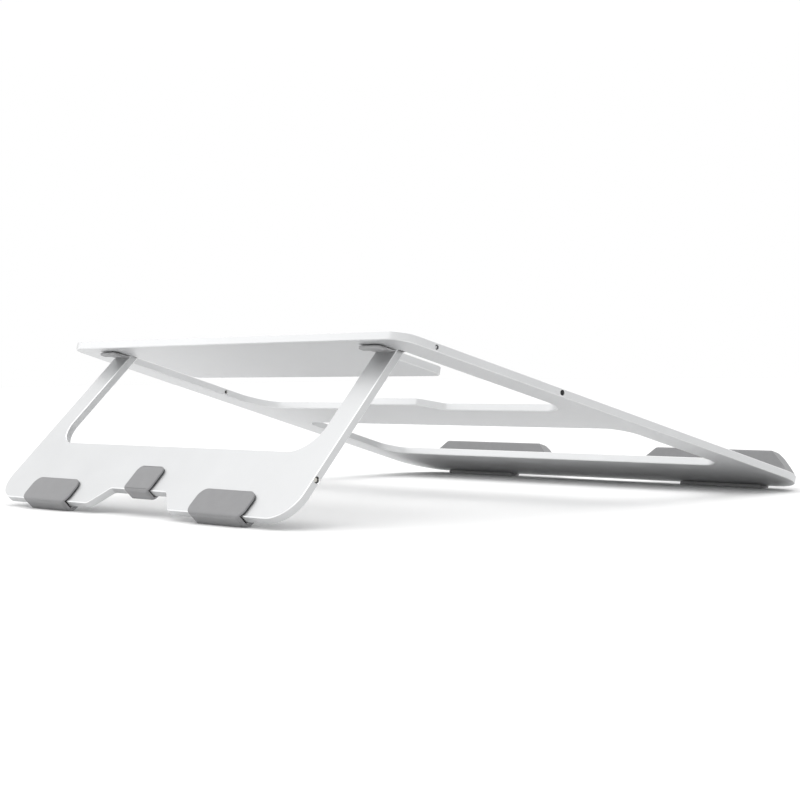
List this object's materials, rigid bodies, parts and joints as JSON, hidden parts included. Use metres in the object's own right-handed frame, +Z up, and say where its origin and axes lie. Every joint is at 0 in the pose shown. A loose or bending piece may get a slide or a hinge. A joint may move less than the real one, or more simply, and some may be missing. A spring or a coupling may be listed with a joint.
{
  "type": "folding laptop stand",
  "caption": "Folding laptop stand: a flat plate with open windows whose inner panel swings out on hinge pins as the rear leg, with grey silicone stops and feet.",
  "frame": {"origin": "on the table, under the middle of the open stand's box", "axes": "+X to the right of the person at the laptop, +Y away from them towards the raised back edge and the leg, +Z up; the stand is open, standing on its front and rear pads"},
  "size_m": [0.2742, 0.3192, 0.0773],
  "materials": {
    "anodised_aluminium": "fine bead-blasted, clear anodised",
    "silicone": "matt moulded silicone",
    "steel": "ground stainless steel",
    "magnet": "bright nickel plate",
    "nylon": "black nylon"
  },
  "bodies": {
    "plate": {"top_plate": "anodised_aluminium", "hinge_pin_left": "steel", "hinge_pin_right": "steel", "hinge_washer_outer_left": "nylon", "hinge_washer_outer_right": "nylon", "hinge_washer_inner_left": "nylon", "hinge_washer_inner_right": "nylon", "hinge_bumper_left": "silicone", "hinge_bumper_right": "silicone", "rail_magnet_left": "magnet", "rail_magnet_right": "magnet", "magnet_plug_left": "steel", "magnet_plug_right": "steel", "front_pad_left": "silicone", "front_pad_right": "silicone"},
    "leg": {"leg_panel": "anodised_aluminium", "leg_magnet_left": "magnet", "leg_magnet_right": "magnet", "leg_pad_left": "silicone", "leg_pad_right": "silicone", "leg_pad_centre": "silicone"}
  },
  "joints": [
    {"name": "leg_fold", "type": "hinge", "parent": "plate", "child": "leg", "pos_m": [0, 0.08867, 0.0706], "axis": [-1, 0, 0], "range_deg": [0, 119.5]}
  ]
}
